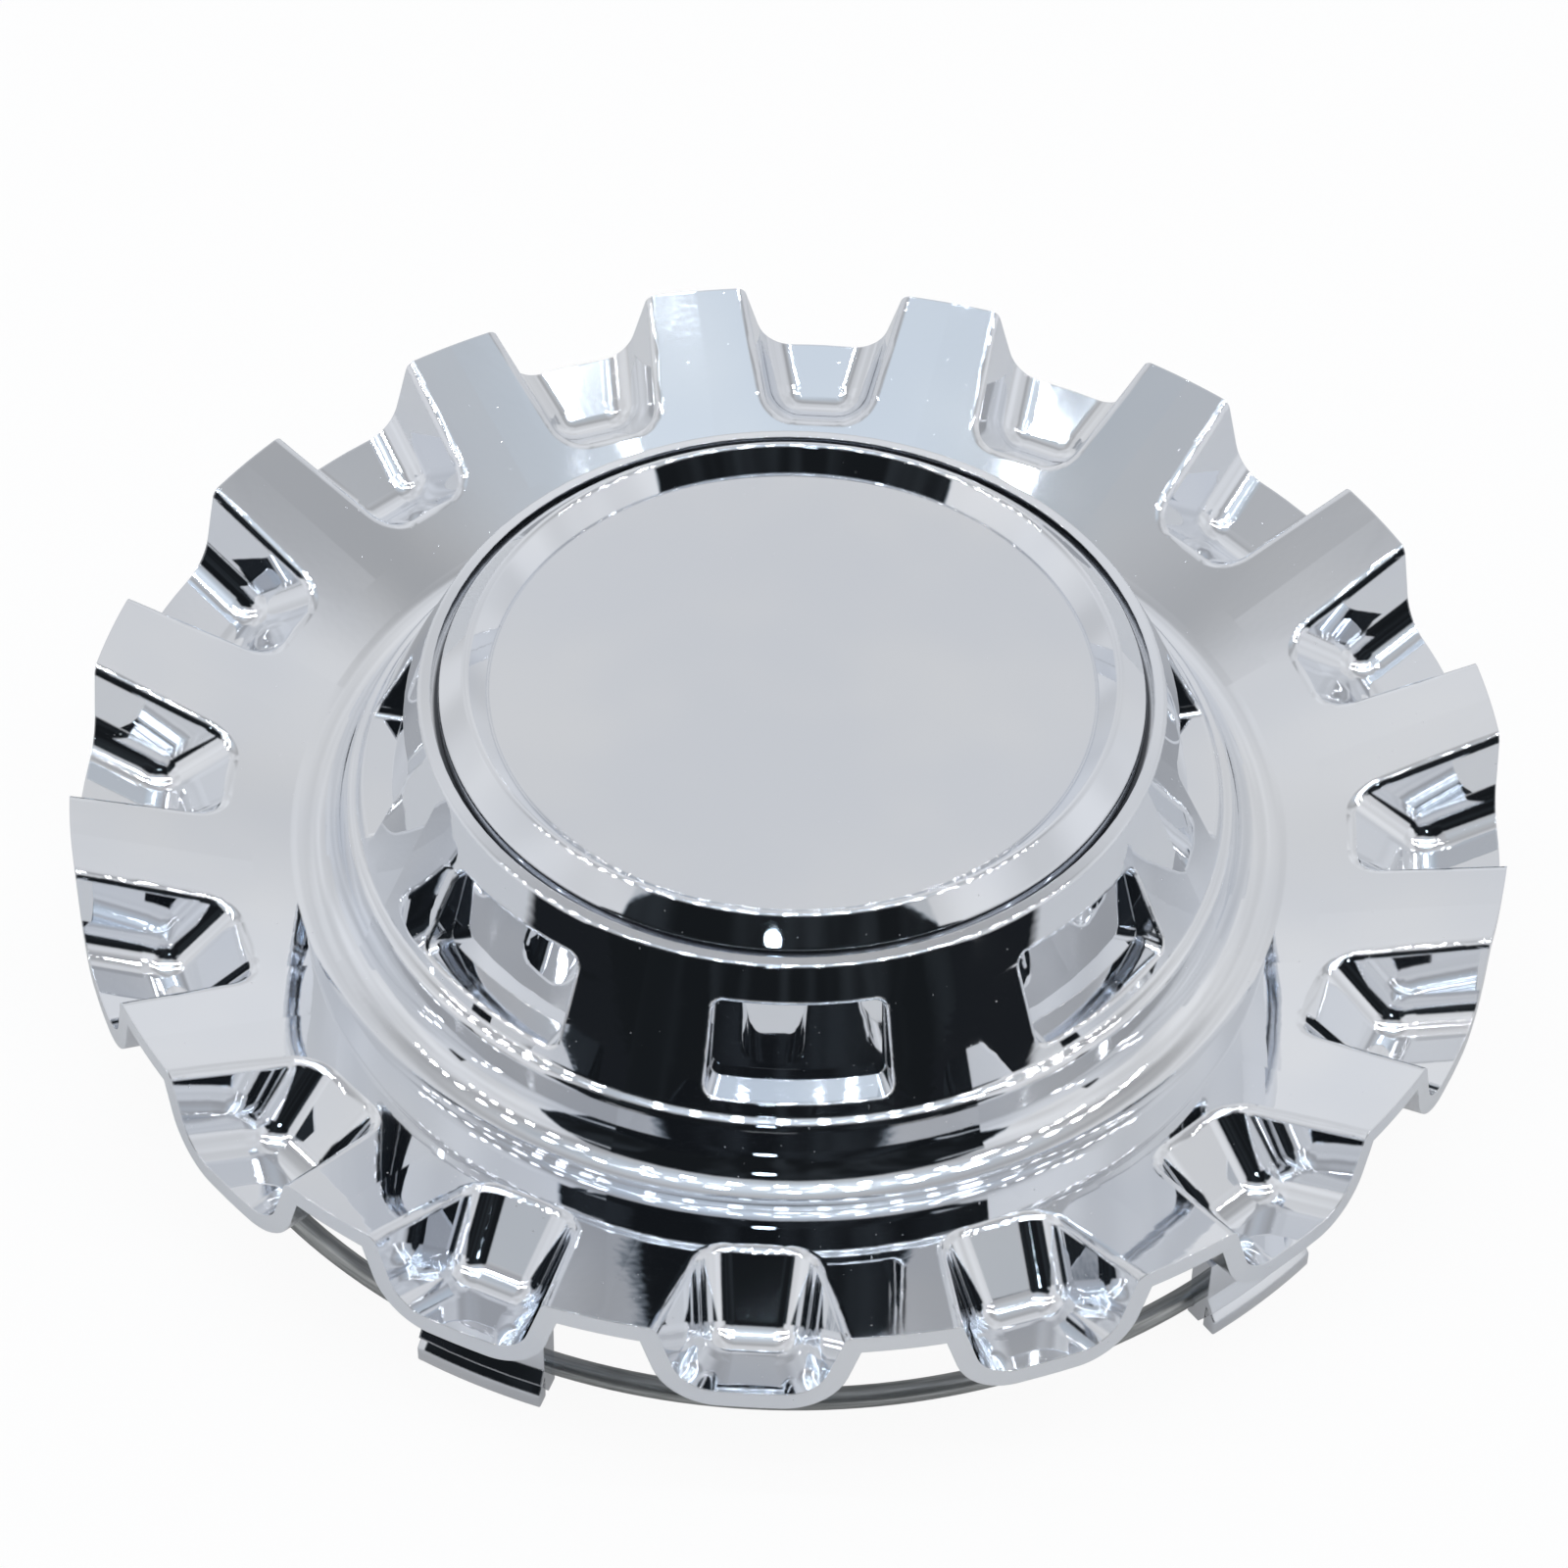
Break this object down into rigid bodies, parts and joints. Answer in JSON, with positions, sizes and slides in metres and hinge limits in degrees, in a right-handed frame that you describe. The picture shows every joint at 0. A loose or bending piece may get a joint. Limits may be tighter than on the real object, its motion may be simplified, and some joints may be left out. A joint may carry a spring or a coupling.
{
  "type": "axle hub cover",
  "caption": "Round chrome wheel hub cover with a toothed dished flange, a raised drum with recessed windows, a bevelled centre cap and a spring wire seated in clip feet.",
  "frame": {"origin": "on the wheel axis, in the plane of the clip feet", "axes": "+Z along the wheel axis, out of the wheel towards the viewer; -Y towards the camera of the picture"},
  "size_m": [0.21, 0.21, 0.0506],
  "materials": {
    "cover": "bright chrome plating on moulded plastic",
    "centre_cap": "bright chrome plating on moulded plastic",
    "retaining_ring": "dull drawn spring steel"
  },
  "bodies": {
    "root": {"cover": "cover", "centre_cap": "centre_cap", "retaining_ring": "retaining_ring"}
  },
  "joints": []
}
